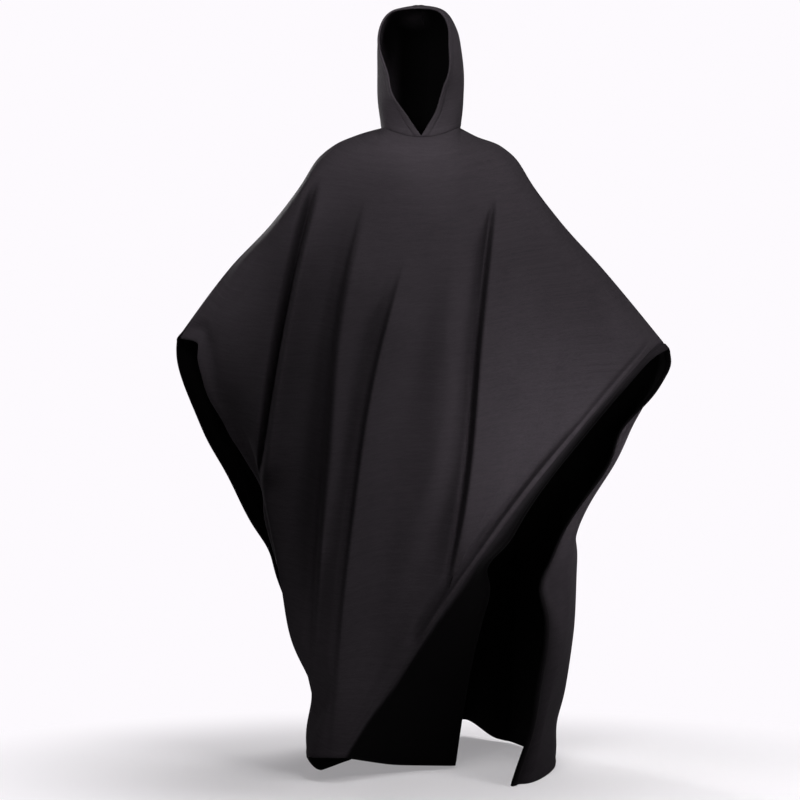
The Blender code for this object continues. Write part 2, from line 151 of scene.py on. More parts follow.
BACK_LINES = (
    HangLine("left edge", -0.571, (-0.538, 0.040, 0.862), (-0.440, 0.080, 0.643),
             (-0.310, 0.110, 0.340), (-0.235, 0.140, 0.020), 4, 5),
    HangLine("left wing", -0.425, (-0.410, 0.130, 0.930), (-0.360, 0.170, 0.660),
             (-0.290, 0.220, 0.350), (-0.205, 0.270, 0.030), 5, 5),
    HangLine("left shoulder", -0.246, (-0.240, 0.155, 1.080), (-0.225, 0.200, 0.730),
             (-0.190, 0.270, 0.370), (-0.130, 0.360, 0.030), 5, 5),
    HangLine("left of neck", -NECK_HALF_WIDTH, (-0.100, 0.165, 1.120), (-0.100, 0.210, 0.750),
             (-0.085, 0.300, 0.380), (-0.040, 0.405, 0.035), 6, 4),
    HangLine("middle", 0.0, (0.000, 0.165, 1.130), (0.000, 0.210, 0.760),
             (0.010, 0.310, 0.390), (0.040, 0.420, 0.040), 6, 4),
    HangLine("right of neck", NECK_HALF_WIDTH, (0.100, 0.165, 1.120), (0.100, 0.215, 0.750),
             (0.110, 0.310, 0.380), (0.120, 0.405, 0.045), 5, 5),
    HangLine("right shoulder", 0.226, (0.240, 0.155, 1.080), (0.245, 0.205, 0.730),
             (0.225, 0.260, 0.370), (0.200, 0.330, 0.010), 5, 6),
    HangLine("right wing", 0.410, (0.400, 0.130, 0.930), (0.360, 0.140, 0.670),
             (0.320, 0.150, 0.350), (0.275, 0.190, 0.005), 4, 7),
    HangLine("right side", 0.540, (0.503, 0.030, 0.815), (0.385, 0.020, 0.595),
             (0.358, 0.000, 0.310), (0.315, 0.000, 0.003), 3, 7),
    HangLine("right turn", 0.565, (0.490, -0.020, 0.780), (0.365, -0.060, 0.560),
             (0.330, -0.120, 0.280), (0.262, -0.205, 0.003), 3, 7),
    HangLine("right edge", 0.581, (0.439, -0.060, 0.737), (0.302, -0.120, 0.514),
             (0.278, -0.200, 0.260), (0.204, -0.287, 0.003), 0, 0),
)

# Small bends: within some cells of a line, the cloth lies this far to the right of its smooth course
# at a height, and fades back over the spread above and below
Nudge = namedtuple("Nudge", "line height right spread cells")
FRONT_NUDGES = (
    Nudge("right edge", 0.475, -0.028, 0.040, 4),
    Nudge("left edge", 0.860, -0.018, 0.060, 4),
    Nudge("left edge", 0.650, 0.015, 0.050, 4),
    Nudge("left edge", 0.775, -0.009, 0.040, 4),
    Nudge("left edge", 0.985, 0.011, 0.028, 3),
)
BACK_NUDGES = (
    Nudge("right edge", 0.940, 0.007, 0.030, 5),
    Nudge("right edge", 0.790, -0.018, 0.070, 7),
    Nudge("right edge", 0.790, -0.014, 0.060, 3),
    Nudge("right side", 0.550, -0.012, 0.035, 4),
    Nudge("right edge", 0.430, -0.019, 0.050, 3),
    Nudge("right edge", 0.120, 0.012, 0.080, 3),
    Nudge("right turn", 0.150, -0.009, 0.100, 4),
    Nudge("right side", 0.100, -0.009, 0.050, 4),
    Nudge("left edge", 0.760, -0.006, 0.060, 4),
    Nudge("left edge", 0.500, 0.012, 0.050, 4),
)

# A fold's dark line runs through four places (x, height), from its top down, and columns near the hung
# line are drawn to it. There the cloth dips by valley. Beyond it, by lip, is the crest. From the left
# the cloth climbs by depth to the crest, over the width rise at its top and rise_low at its low end,
# ever more steeply the higher its power, and it falls off over the width fall. It is full after the
# share start of its height and dies out over the share end. A thin edge stands out by roll at the crest.
Fold = namedtuple("Fold", "line places depth lip rise rise_low power fall valley valley_width roll "
                          "start end")
FRONT_FOLDS = (
    Fold("left turn", ((-0.240, 1.375), (-0.300, 1.118), (-0.342, 0.890), (-0.379, 0.640)),
         0.026, 0.009, 0.012, 0.026, 1.3, 0.080, 0.056, 0.0090, 0.0, 0.16, 0.10),
    Fold("left of neck", ((-0.126, 1.345), (-0.192, 1.050), (-0.222, 0.720), (-0.260, 0.150)),
         0.074, 0.005, 0.044, 0.080, 2.6, 0.200, 0.027, 0.0100, 0.0020, 0.20, 0.32),
    Fold("middle", ((-0.040, 1.190), (-0.114, 0.910), (-0.164, 0.574), (-0.216, 0.020)),
         0.040, 0.007, 0.030, 0.070, 1.8, 0.100, 0.012, 0.0085, 0.0010, 0.16, 0.32),
    Fold("right shoulder", ((0.168, 1.345), (0.129, 1.014), (0.096, 0.664), (0.040, 0.380)),
         0.042, 0.010, 0.010, 0.080, 2.4, 0.180, 0.018, 0.0065, 0.0, 0.16, 0.25),
)
BACK_FOLDS = (
    Fold("left shoulder", ((-0.190, 1.280), (-0.225, 0.900), (-0.235, 0.500), (-0.180, -0.200)),
         0.030, 0.005, 0.030, 0.050, 1.6, 0.090, 0.010, 0.0100, 0.0, 0.30, 0.10),
    Fold("left of neck", ((-0.060, 1.230), (-0.075, 0.850), (-0.072, 0.500), (-0.020, -0.200)),
         0.035, 0.006, 0.040, 0.060, 1.8, 0.100, 0.008, 0.0120, 0.0, 0.35, 0.10),
    Fold("right of neck", ((0.100, 1.280), (0.085, 0.880), (0.090, 0.480), (0.112, -0.200)),
         0.035, 0.007, 0.012, 0.050, 1.5, 0.100, 0.014, 0.0090, 0.0, 0.25, 0.10),
    Fold("right shoulder", ((0.230, 1.250), (0.236, 0.880), (0.232, 0.500), (0.210, -0.200)),
         0.030, 0.005, 0.035, 0.050, 1.7, 0.090, 0.008, 0.0100, 0.0, 0.32, 0.10),
)

# A fold's dip is this many times wider on its left, where the cloth sinks to it slowly
VALLEY_LEFT = 1.3

# The thin edge along a fold's crest lies this far beyond it
ROLL_PLACE = 0.002
ROLL_WIDTH = 0.004

# Soft creases: a low ridge (a trough where depth is below 0) through three places (x, height)
Crease = namedtuple("Crease", "places depth width")
FRONT_CREASES = (
    Crease(((0.060, 1.090), (0.041, 0.900), (0.019, 0.470)), 0.004, 0.030),
    Crease(((-0.470, 1.060), (-0.430, 1.080), (-0.390, 1.130)), -0.003, 0.018),
    Crease(((-0.330, 1.230), (-0.390, 1.090), (-0.430, 0.960)), 0.004, 0.030),
    Crease(((0.250, 1.300), (0.300, 1.120), (0.290, 0.860)), 0.004, 0.040),
    Crease(((-0.290, 0.560), (-0.285, 0.400), (-0.262, 0.220)), 0.005, 0.018),
    Crease(((-0.216, 0.680), (-0.231, 0.450), (-0.250, 0.170)), 0.006, 0.006),
)
BACK_CREASES = (
    Crease(((-0.330, 1.180), (-0.350, 0.960), (-0.330, 0.640)), 0.012, 0.035),
    Crease(((0.010, 1.150), (0.012, 0.800), (0.030, 0.360)), 0.008, 0.030),
    Crease(((0.330, 1.150), (0.360, 0.950), (0.340, 0.620)), 0.010, 0.035),
    Crease(((-0.140, 1.000), (-0.150, 0.760), (-0.130, 0.420)), 0.007, 0.024),
    Crease(((0.170, 0.940), (0.160, 0.640), (0.165, 0.300)), 0.007, 0.024),
    Crease(((-0.430, 1.080), (-0.350, 1.180), (-0.260, 1.260)), -0.005, 0.022),
    Crease(((0.430, 1.080), (0.350, 1.180), (0.250, 1.280)), -0.005, 0.022),
)

# A crease with less height than LEVEL_HEIGHT runs across the cloth. Each dies out at this many times
# half its length or height from its middle.
LEVEL_HEIGHT = 0.15
LEVEL_REACH = 1.6
CREASE_REACH = 1.4

# Slow waves all over a panel, between these lengths and turned by up to WAVE_TURN radians
WAVE_HEIGHT = 0.0012
WAVE_COUNT = 9
WAVE_SHORTEST = 0.10
WAVE_LONGEST = 0.32
WAVE_TURN = 0.5

# Creases and waves grow to full over this share of the way down
CREASE_SETTLE = 0.10

# A panel: its tables, the lines between which its folds grow to full and those between which they die
# out, and the seed of its waves
Panel = namedtuple("Panel", "forward lines nudges swing folds creases growing fading seed")
FRONT = Panel(True, FRONT_LINES, FRONT_NUDGES, FRONT_SWING, FRONT_FOLDS, FRONT_CREASES,
              ("left wing", "left turn"), ("right wing", "ridge"), 11)
BACK = Panel(False, BACK_LINES, BACK_NUDGES, BACK_SWING, BACK_FOLDS, BACK_CREASES,
             ("left edge", "left wing"), ("right wing", "right side"), 23)

# Hems: the cloth is turned in and sewn over this width, which swells and ends in a groove
HEM_WIDTH = 0.016
HEM_SWELL = 0.0016
HEM_GROOVE = 0.0010
HEM_GROOVE_WIDTH = 0.0025
HEM_END = 0.004

# Beside the hem of an open side the cloth dips
HEM_DIP = 0.0095
HEM_DIP_PLACE = 0.032
HEM_DIP_WIDTH = 0.016

# The front turns over at the ridge, a narrow roll with a soft valley beside it. The roll begins this
# far below the top edge, and the valley below RIDGE_VALLEY_TOP. Both end near the height RIDGE_END.
RIDGE_ROLL = 0.011
RIDGE_ROLL_WIDTH = 0.007
RIDGE_START = 0.02
RIDGE_START_SPREAD = 0.08
RIDGE_END = 0.33
RIDGE_END_SPREAD = 0.05
RIDGE_VALLEY = 0.010
RIDGE_VALLEY_PLACE = 0.020
RIDGE_VALLEY_WIDTH = 0.011
RIDGE_VALLEY_TOP = 0.70
RIDGE_VALLEY_SPREAD = 0.14

# How far behind the ridge the turned back cloth, and the painted shade on it, begins: more above its
# end, less near the hem
RIDGE_BACK = 0.010
RIDGE_BACK_UPPER = 0.008
RIDGE_UPPER_SPREAD = 0.25
RIDGE_BACK_LOWER = 0.014
RIDGE_LOW = 0.24
RIDGE_LOW_SPREAD = 0.12

# There painted shade darkens it in two steps, for the shade the turned back cloth lies in: to the folded
# share over FOLDED_WIDTH, and from TURNED_PLACE on to the turned share, over TURNED_WIDTH near the hem
# and
# TURNED_WIDER more at the upper part
FOLDED_WIDTH = 0.008
TURNED_PLACE = 0.006
TURNED_WIDTH = 0.006
TURNED_WIDER = 0.045

# The back's right edge curls in, most at this height
CURL = 0.011
CURL_WIDTH = 0.050
CURL_HEIGHT = 0.16
CURL_SPREAD = 0.20

# Painted shade darkens its outside towards that edge over this width, and over more of it below this
# height
DIM_WIDTH = 0.022
DIM_WIDER = 0.046
DIM_TOP = 0.50
DIM_SPREAD = 0.20

# A soft painted shade crosses it there at this height, as far from the edge as SHADE_REACH
SHADE_HEIGHT = 0.450
SHADE_SPREAD = 0.090
SHADE_REACH = 0.120
SHADE_EDGE = 0.04
SHADE_STRENGTH = 0.28

# Beside a sewn seam the cloth swells by this much, most at this distance from it. All that lifts a
# panel's cloth grows to full over TOP_GROW below its top edge, and the hood's over HOOD_GROW.
SEAM_SWELL = 0.0010
NECK_SEAM_SWELL = 0.0004
SEAM_SWELL_PLACE = 0.007
TOP_GROW = 0.03
HOOD_GROW = 0.004

# The hood's half at +X, from above the neckline to the crown: a level's place at the face edge, at the
# side, and (y and height) at the middle seam
HoodLevel = namedtuple("HoodLevel", "rim side back")
HOOD_LEVELS = (
    HoodLevel((0.047, -0.112, 1.540), (0.100, 0.000, 1.555), (0.095, 1.560)),
    HoodLevel((0.068, -0.118, 1.605), (0.101, 0.010, 1.615), (0.120, 1.620)),
    HoodLevel((0.082, -0.120, 1.670), (0.095, 0.012, 1.675), (0.128, 1.675)),
    HoodLevel((0.078, -0.118, 1.719), (0.084, 0.010, 1.724), (0.115, 1.712)),
    HoodLevel((0.053, -0.112, 1.752), (0.056, 0.005, 1.766), (0.085, 1.742)),
    HoodLevel((0.000, -0.108, 1.760), (0.000, 0.000, 1.781), (0.055, 1.755)),
)

# Where a level's face edge, side, corner and seam lie, as shares of its way round. The corner has
# CORNER_WIDTH of the side's width and lies CORNER_BACK of the way from side to seam.
HOOD_PLACES = (0.0, 0.5, 0.78, 1.0)
CORNER_WIDTH = 0.74
CORNER_BACK = 0.7

# How much wider the face opening is at its lowest two levels, at the left and at the right
LEFT, RIGHT = -1.0, 1.0
HOOD_WIDER = {LEFT: (0.003, -0.006), RIGHT: (0.0, 0.012)}

# The hood is turned by this much, in full from HOOD_TURN_HEIGHT above the turn's start
HOOD_TURN = math.radians(-8.0)
HOOD_TURN_START = 0.01
HOOD_TURN_HEIGHT = 0.08

# Columns for each cell of the neckline, and rows
HOOD_FINE = 8
HOOD_ROWS = 112

# The flat cut of each piece: the smallest rectangle round it, and its own area
Cut = namedtuple("Cut", "width length area")

# Painted light inside the hood, where light falls in: it is lighter beyond the side distance to the
# left, and above the top height as far to the right as the right limit
PAINTED_LIGHT_SIDE = 0.042
PAINTED_LIGHT_SIDE_WIDTH = 0.050
PAINTED_LIGHT_TOP = 1.740
PAINTED_LIGHT_TOP_HEIGHT = 0.035
PAINTED_LIGHT_RIGHT = 0.03
PAINTED_LIGHT_RIGHT_WIDTH = 0.06

# Painted shade: the share of the cloth's colour that each face keeps. The insides are painted dark where
# shade falls, and so are the cloth turned back past the ridge and the back's curled edge. Parts of the
# hood's inside are painted lighter where light falls in.
UNSHADED_OUTSIDE = 1.0
PAINTED_SHADE_INSIDE = 0.04
PAINTED_SHADE_IN_HOOD = 0.025
PAINTED_LIGHT_IN_HOOD = 1.0
PAINTED_SHADE_FOLDED = 0.50
PAINTED_SHADE_TURNED = 0.05
PAINTED_SHADE_CURLED = 0.10

# The knitted rows lie level, and drop this fast where the cloth runs front to back
ROW_SLOPE = 0.4

# A rim is rounded in steps at these angles, from the outer face to the inner
RIM_ANGLES = (math.radians(45.0), math.radians(90.0), math.radians(135.0))


# ---- Curves ----

def smooth_step(share):
    """From 0 to 1 while share does so, with a level start and end."""
    share = np.clip(share, 0.0, 1.0)
    return share * share * (3.0 - 2.0 * share)


def bell(distance, width):
    """1 at no distance, and falling off on both sides."""
    return np.exp(-((distance / width) ** 2))


def hump(share):
    """From 0 up to 1 where share is 1, and slowly down after it."""
    return share * np.exp(1.0 - share)


def slopes_of(places, values, steady):
    """The slope of a smooth curve through values. A steady curve never swings past its values."""
    steps = np.diff(places)[:, None]
    slopes = np.diff(values, axis=0) / steps
    before, after = slopes[:-1], slopes[1:]
    if steady:
        alike = before * after > 0
        product = np.where(alike, before * after, 1.0)
        total = np.where(alike, before + after, 1.0)
        inner = np.where(alike, 2.0 * product / total, 0.0)
        return np.concatenate([slopes[:1], inner, slopes[-1:]])
    inner = (before * steps[1:] + after * steps[:-1]) / (steps[:-1] + steps[1:])
    first = 1.5 * slopes[:1] - 0.5 * inner[:1]
    last = 1.5 * slopes[-1:] - 0.5 * inner[-1:]
    return np.concatenate([first, inner, last])


def smooth_through(places, values, wanted, steady=False):
    """Rows of values read at the wanted places, on a smooth curve through all of them."""
    places = np.asarray(places, float)
    shape = np.shape(values)[1:]
    values = np.asarray(values, float).reshape(len(places), -1)
    wanted = np.asarray(wanted, float)
    slopes = slopes_of(places, values, steady)
    span = np.clip(np.searchsorted(places, wanted, side="right") - 1, 0, len(places) - 2)
    width = (places[span + 1] - places[span])[:, None]
    t = (wanted[:, None] - places[span][:, None]) / width
    read = (2 * t**3 - 3 * t**2 + 1) * values[span] + (t**3 - 2 * t**2 + t) * width * slopes[span]
    read += (3 * t**2 - 2 * t**3) * values[span + 1] + (t**3 - t**2) * width * slopes[span + 1]
    return read.reshape((len(wanted),) + shape)


def unit(vectors):
    return vectors / np.linalg.norm(vectors, axis=-1, keepdims=True)


def course(places, height):
    """X of a line through places (x, height), from its top down, at each height."""
    heights = [h for _, h in reversed(places)]
    xs = [[x] for x, _ in reversed(places)]
    held = np.clip(height, heights[0], heights[-1])
    return smooth_through(heights, xs, held.ravel())[:, 0].reshape(height.shape)


# ---- The top edge ----

def neck_middle(forward):
    """How far the neckline's middle lies from the origin, front to back, and above its sides."""
    return (-NECK_FORWARD, -NECK_FRONT_DIP) if forward else (NECK_BACK, NECK_BACK_RISE)


def neck_edge(x, forward):
    """The neckline at X = x: its point, and which way the cloth's thickness goes."""
    share = math.sqrt(max(0.0, 1.0 - (x / NECK_HALF_WIDTH) ** 2))
    reach, lift = neck_middle(forward)
    back = share if forward else -share
    point = np.array((x, reach * share, NECK_SIDE_HEIGHT + lift * share**2))
    return point, unit(np.array((-x / NECK_HALF_WIDTH, back, -NECK_EDGE_SLOPE)))


def line_height(places, x):
    return smooth_through([p[0] for p in places], [[p[1]] for p in places], x)[:, 0]


def top_edge(x, forward):
    """A panel's top edge at X = x: its point, and which way its thickness goes."""
    if abs(x) <= NECK_HALF_WIDTH:
        return neck_edge(x, forward)
    seam = LEFT_SEAM if x < 0 else RIGHT_SEAM
    before, height, after = line_height(seam, (x - SLOPE_STEP, x, x + SLOPE_STEP))
    rise = (after - before) / (2.0 * SLOPE_STEP)
    return np.array((x, 0.0, height)), unit(np.array((rise, 0.0, -1.0)))


def shoulder_top(x, forward):
    """Where the cloth over the shoulders and round the neck would start, were it smooth there."""
    reach, lift = neck_middle(forward)
    middle = NECK_SIDE_HEIGHT + lift
    side = NECK_SIDE_HEIGHT - NECK_ROUNDING
    neck = ((-NECK_HALF_WIDTH, side), (0.0, middle), (NECK_HALF_WIDTH, side))
    heights = line_height(LEFT_SEAM[:-1] + neck + RIGHT_SEAM[1:], x)
    return np.stack([x, reach * bell(x, SHOULDER_SPREAD), heights], axis=1)


# ---- Folds, creases and waves ----

def fold_offsets(folds, x, height):
    """How far the folds stand out at places of a panel."""
    offsets = np.zeros_like(x)
    for fold in folds:
        top, low = fold.places[0][1], fold.places[-1][1]
        across = x - course(fold.places, height)
        beyond = across - fold.lip
        rise = fold.rise + (fold.rise_low - fold.rise) * smooth_step((top - height) / (top - low))
        away = np.hypot(beyond, 0.5 * fold.lip) - 0.5 * fold.lip
        rising = np.clip(1.0 - away / rise, 0.0, 1.0) ** fold.power
        falling = np.clip(1.0 - away / fold.fall, 0.0, 1.0) ** 2
        profile = fold.depth * np.where(beyond < 0, rising, falling)
        profile -= fold.valley * bell(across, fold.valley_width * np.where(across < 0, VALLEY_LEFT, 1.0))
        profile += fold.roll * bell(beyond - ROLL_PLACE, ROLL_WIDTH)
        fade = smooth_step((top - height) / (fold.start * (top - low)))
        fade = fade * smooth_step((height - low) / (fold.end * (top - low)))
        offsets = offsets + profile * fade
    return offsets


def crease_offsets(creases, x, height):
    """How far the creases stand out at places of a panel."""
    offsets = np.zeros_like(x)
    for crease in creases:
        xs = [p[0] for p in crease.places]
        heights = [p[1] for p in crease.places]
        spread = abs(heights[0] - heights[-1])
        if spread < LEVEL_HEIGHT:
            along = (x - xs[0]) / (xs[-1] - xs[0])
            line = smooth_through((0.0, 0.5, 1.0), [[h] for h in heights], np.clip(along, 0, 1).ravel())
            across = height - line[:, 0].reshape(x.shape)
            fade = smooth_step(1.0 - np.abs(along - 0.5) / (0.5 * LEVEL_REACH))
        else:
            across = x - course(crease.places, height)
            middle = 0.5 * (heights[0] + heights[-1])
            fade = smooth_step(1.0 - np.abs(height - middle) / (0.5 * CREASE_REACH * spread))
        offsets = offsets + crease.depth * bell(across, crease.width) * fade
    return offsets


def undulation(x, height, seed):
    """Slow waves all over the cloth."""
    chance = np.random.default_rng(seed)
    waves = np.zeros_like(x)
    for _ in range(WAVE_COUNT):
        length = chance.uniform(WAVE_SHORTEST, WAVE_LONGEST)
        angle = chance.uniform(-WAVE_TURN, WAVE_TURN)
        phase = chance.uniform(0.0, 2.0 * math.pi)
        way = x * math.cos(angle) + height * math.sin(angle)
        waves = waves + np.sin(2.0 * math.pi * way / length + phase)
    return WAVE_HEIGHT * waves / math.sqrt(WAVE_COUNT)


def nudge(grid, columns, named, nudges):
    for bend in nudges:
        near = smooth_step(1.0 - np.abs(columns - named[bend.line]) / bend.cells)
        level = bell(grid[:, :, 2] - bend.height, bend.spread)
        grid[:, :, 0] += bend.right * near[:, None] * level


# ---- The panels' form ----

def line_marks(lines):
    """Where the hung lines lie, in cells of the table, in order and by name."""
    marks = np.concatenate([[0], np.cumsum([line.cells for line in lines[:-1]])])
    return marks, {line.name: mark for line, mark in zip(lines, marks)}


def fine_columns(lines, marks):
    """Where the dressed cloth's columns lie, in cells of the table: closer together at each line."""
    spans = []
    for line, mark in zip(lines[:-1], marks):
        share = np.linspace(0.0, 1.0, line.cells * line.fine, endpoint=False)
        share = share - CROWDING * np.sin(2.0 * math.pi * share) / (2.0 * math.pi)
        spans.append(mark + line.cells * share)
    return np.concatenate(spans + [[marks[-1]]])


def column_at(columns, mark):
    return int(np.argmin(np.abs(columns - mark)))


def on_neck(columns, named):
    start = named["left of neck"]
    return (columns >= start) & (columns <= start + NECK_CELLS)


def hung_grid(form, columns, marks, named):
    """A panel's outer points before its folds, column by column, and the way in along its top."""
    tops = smooth_through(marks, [[line.top] for line in form.lines], columns)[:, 0]
    smooth_tops = shoulder_top(tops, form.forward)
    neck_start = named["left of neck"]
    turns = math.pi * (columns - neck_start) / NECK_CELLS
    tops = np.where(on_neck(columns, named), -NECK_HALF_WIDTH * np.cos(turns), tops)
    tops[0] = form.lines[0].top
    tops[-1] = form.lines[-1].top
    edges = [top_edge(x, form.forward) for x in tops]
    hung = [(line.upper, line.middle, line.lower, line.hem) for line in form.lines]
    lower = smooth_through(marks, hung, columns, steady=True)
    knots = np.concatenate([smooth_tops[:, None], lower], axis=1)
    rows = np.linspace(0.0, 1.0, PANEL_ROWS + 1)
    rows = rows * (TOP_SPACING + (1.0 - TOP_SPACING) * rows)
    grid = smooth_through(QUARTERS, knots.transpose(1, 0, 2), rows).transpose(1, 0, 2)
    settling = np.clip(1.0 - rows / TOP_SETTLE, 0.0, 1.0) ** 2
    away = np.array([point for point, _ in edges]) - smooth_tops
    grid += away[:, None] * settling[None, :, None]
    out = -1.0 if form.forward else 1.0
    bulge = ARM_BULGE * hump(rows / ARM_SHARE)
    wrists = smooth_step(1.0 - np.minimum(columns, marks[-1] - columns) / WRIST_CELLS)
    grid[:, :, 1] += out * bulge[None, :] * (1.0 - (1.0 - WRIST_BULGE) * wrists)[:, None]
    swing = wrists * np.where(tops < 0, form.swing.left, form.swing.right)
    grid[:, :, 0] += swing[:, None] * hump(rows / form.swing.share)[None, :]
    if form.forward:
        tucked = smooth_step((neck_start + NECK_CELLS - columns) / NECK_CELLS)[:, None]
        grid[:, :, 0] += TUCK * tucked * bell(grid[:, :, 2] - TUCK_HEIGHT, TUCK_SPREAD)
    nudge(grid, columns, named, form.nudges)
    return grid, rows, np.array([inward for _, inward in edges])


def fold_columns(grid, columns, named, folds):
    """Where each fold's line runs, row by row, in cells of the table."""
    rows = grid.shape[1]
    found = np.zeros((len(folds), rows))
    for place, fold in enumerate(folds):
        mark = named[fold.line]
        across = grid[:, :, 0] - course(fold.places, grid[:, :, 2])
        for row in range(rows):
            turns = np.nonzero(np.diff(np.sign(across[:, row])) != 0)[0]
            if len(turns) == 0:
                found[place, row] = mark
                continue
            near = turns[np.argmin(np.abs(columns[turns] - mark))]
            low, high = across[near, row], across[near + 1, row]
            share = low / (low - high)
            found[place, row] = columns[near] + share * (columns[near + 1] - columns[near])
        height = grid[column_at(columns, mark), :, 2]
        fade = smooth_step((fold.places[0][1] + DRAW_PAST - height) / DRAW_TOP)
        fade = fade * smooth_step((height - fold.places[-1][1] + DRAW_PAST) / DRAW_LOW)
        found[place] = mark + np.clip(found[place] - mark, -DRAW_LIMIT, DRAW_LIMIT) * fade
    window = np.hanning(DRAW_ROWS)
    weights = window[1:-1] / window.sum()
    reach = len(weights) // 2
    padded = np.pad(found, ((0, 0), (reach, reach)), mode="edge")
    found = np.array([np.convolve(line, weights, mode="valid") for line in padded])
    for place in range(1, len(folds)):
        found[place] = np.maximum(found[place], found[place - 1] + DRAW_APART)
    return found


def drawn_to_folds(grid, columns, named, folds):
    """The same surface, read at columns that have moved so that one runs along each fold's line."""
    found = fold_columns(grid, columns, named, folds)
    drawn = [named[fold.line] for fold in folds]
    fixed = [mark for mark in named.values() if mark > drawn[-1] + DRAW_LIMIT]
    marks = [0.0] + drawn + fixed
    moved = np.empty_like(grid)
    for row in range(grid.shape[1]):
        wanted = [0.0] + list(found[:, row]) + fixed
        read = smooth_through(marks, [[w] for w in wanted], columns, steady=True)[:, 0]
        for axis in range(3):
            moved[:, row, axis] = np.interp(read, columns, grid[:, row, axis])
    return moved


def panel_grid(form):
    """A panel's outer points, column by column, the way in along its top, its columns and lines."""
    marks, named = line_marks(form.lines)
    columns = fine_columns(form.lines, marks)
    grid, rows, top_inward = hung_grid(form, columns, marks, named)
    grid = drawn_to_folds(grid, columns, named, form.folds)
    start, full = (named[name] for name in form.growing)
    fading, gone = (named[name] for name in form.fading)
    folded = smooth_step((columns - start) / (full - start))
    folded = folded * smooth_step((gone - columns) / (gone - fading))
    out = -1.0 if form.forward else 1.0
    x, height = grid[:, :, 0].copy(), grid[:, :, 2].copy()
    grid[:, :, 1] += out * folded[:, None] * fold_offsets(form.folds, x, height)
    settled = smooth_step(rows / CREASE_SETTLE)[None, :]
    grid[:, :, 1] += out * settled * crease_offsets(form.creases, x, height)
    grid[:, :, 1] += out * settled * undulation(x, height, form.seed)
    grid[:, 0, 1] -= out * SEAM_LAP / 2
    return grid, top_inward, columns, named


# ---- Meshes ----

def grid_normals(grid):
    """Outward unit normals of a grid whose columns run left to right and rows run down its front."""
    across = np.gradient(grid, axis=0)
    down = np.gradient(grid, axis=1)
    return unit(np.cross(down, across))


def reach_from(grid, axis, last):
    """How far each point lies from the first (or last) line of points along an axis of the grid."""
    steps = np.linalg.norm(np.diff(grid, axis=axis), axis=2)
    length = np.cumsum(np.insert(steps, 0, 0.0, axis=axis), axis=axis)
    if last:
        return np.take(length, [-1], axis=axis) - length
    return length


def free_edges(outer, rounded):
    """The way off the cloth at its free edges, and nothing elsewhere."""
    away = np.zeros_like(outer)
    away[0] += unit(outer[0] - outer[1]) * ("first" in rounded)
    away[-1] += unit(outer[-1] - outer[-2]) * ("last" in rounded)
    away[:, -1] += unit(outer[:, -1] - outer[:, -2]) * ("bottom" in rounded)
    return away / np.maximum(np.linalg.norm(away, axis=2, keepdims=True), 1.0)


def cloth_wall(name, outer, inner, painted_shades, cloth, rounded):
    """A closed wall between two grids of points, with a rounded rim along its free edges.

    The third argument holds one number a point for each face: the share of the colour that painted shade
    leaves. cloth gives each point's place on the flat cloth.
    rounded names the free edges: the first and last columns, and the bottom row.
    """
    columns, rows = outer.shape[:2]
    index = np.arange(columns * rows).reshape(columns, rows)
    corners = (index[:-1, :-1], index[:-1, 1:], index[1:, 1:], index[1:, :-1])
    quads = np.stack(corners, axis=-1).reshape(-1, 4)
    faces = [quads, quads[:, ::-1] + index.size]
    rim = np.concatenate([index[:, 0], index[-1, 1:], index[-2::-1, -1], index[0, -2:0:-1]])
    points = [outer.reshape(-1, 3), inner.reshape(-1, 3)]
    outer_rim, inner_rim = points[0][rim], points[1][rim]
    away_rim = free_edges(outer, rounded).reshape(-1, 3)[rim]
    half = 0.5 * np.linalg.norm(outer_rim - inner_rim, axis=1, keepdims=True)
    middle = 0.5 * (outer_rim + inner_rim)
    painted_shades = [painted_shade.ravel() for painted_shade in painted_shades]
    cloths = 2 * [cloth.reshape(-1, 2)]
    loops = [rim]
    count = 2 * index.size
    for angle in RIM_ANGLES:
        lip = middle + (outer_rim - middle) * math.cos(angle)
        points.append(lip + away_rim * half * math.sin(angle))
        share = angle / math.pi
        painted_shades.append((1 - share) * painted_shades[0][rim] + share * painted_shades[1][rim])
        cloths.append(cloths[0][rim])
        loops.append(np.arange(count, count + len(rim)))
        count += len(rim)
    loops.append(rim + index.size)
    for upper, lower in zip(loops[:-1], loops[1:]):
        after_upper, after_lower = np.roll(upper, -1), np.roll(lower, -1)
        faces.append(np.stack([upper, after_upper, after_lower, lower], axis=-1))
    points = np.concatenate(points)
    points[:, 2] -= NECK_HEIGHT
    return mesh_object(name, points, np.concatenate(faces), np.concatenate(painted_shades), np.concatenate(cloths))


def scene_object(name, data):
    made = bpy.data.objects.new(name, data)
    bpy.context.scene.collection.objects.link(made)
    return made


def mesh_object(name, points, faces, painted_shade, cloth):
    mesh = bpy.data.meshes.new(name)
    mesh.from_pydata(points.tolist(), [], faces.tolist())
    mesh.validate()
    mesh.shade_smooth()
    held = mesh.attributes.new("painted_shade", "FLOAT", "POINT")
    held.data.foreach_set("value", painted_shade.astype(np.float32))
    held = mesh.attributes.new("cloth", "FLOAT_VECTOR", "POINT")
    places = np.zeros((len(points), 3), np.float32)
    places[:, :2] = cloth
    held.data.foreach_set("vector", places.ravel())
    return scene_object(name, mesh)


def cloth_places(across, grid):
    """Each point's place on the flat cloth, whose rows lie level on the garment."""
    return np.stack([across, grid[:, :, 2] + ROW_SLOPE * np.abs(grid[:, :, 1])], axis=-1)


def hem_relief(distance):
    """How far a hem's face stands out from the plain cloth, by the distance from its free edge."""
    swell = HEM_SWELL * (1.0 - smooth_step((distance - HEM_WIDTH + HEM_END) / HEM_END))
    groove = HEM_GROOVE * bell(distance - HEM_WIDTH, HEM_GROOVE_WIDTH)
    return swell - groove


def seam_swell(distance, height):
    """How far the cloth swells at a distance from a sewn seam."""
    return height * hump((distance / SEAM_SWELL_PLACE) ** 2)


# ---- The panels ----

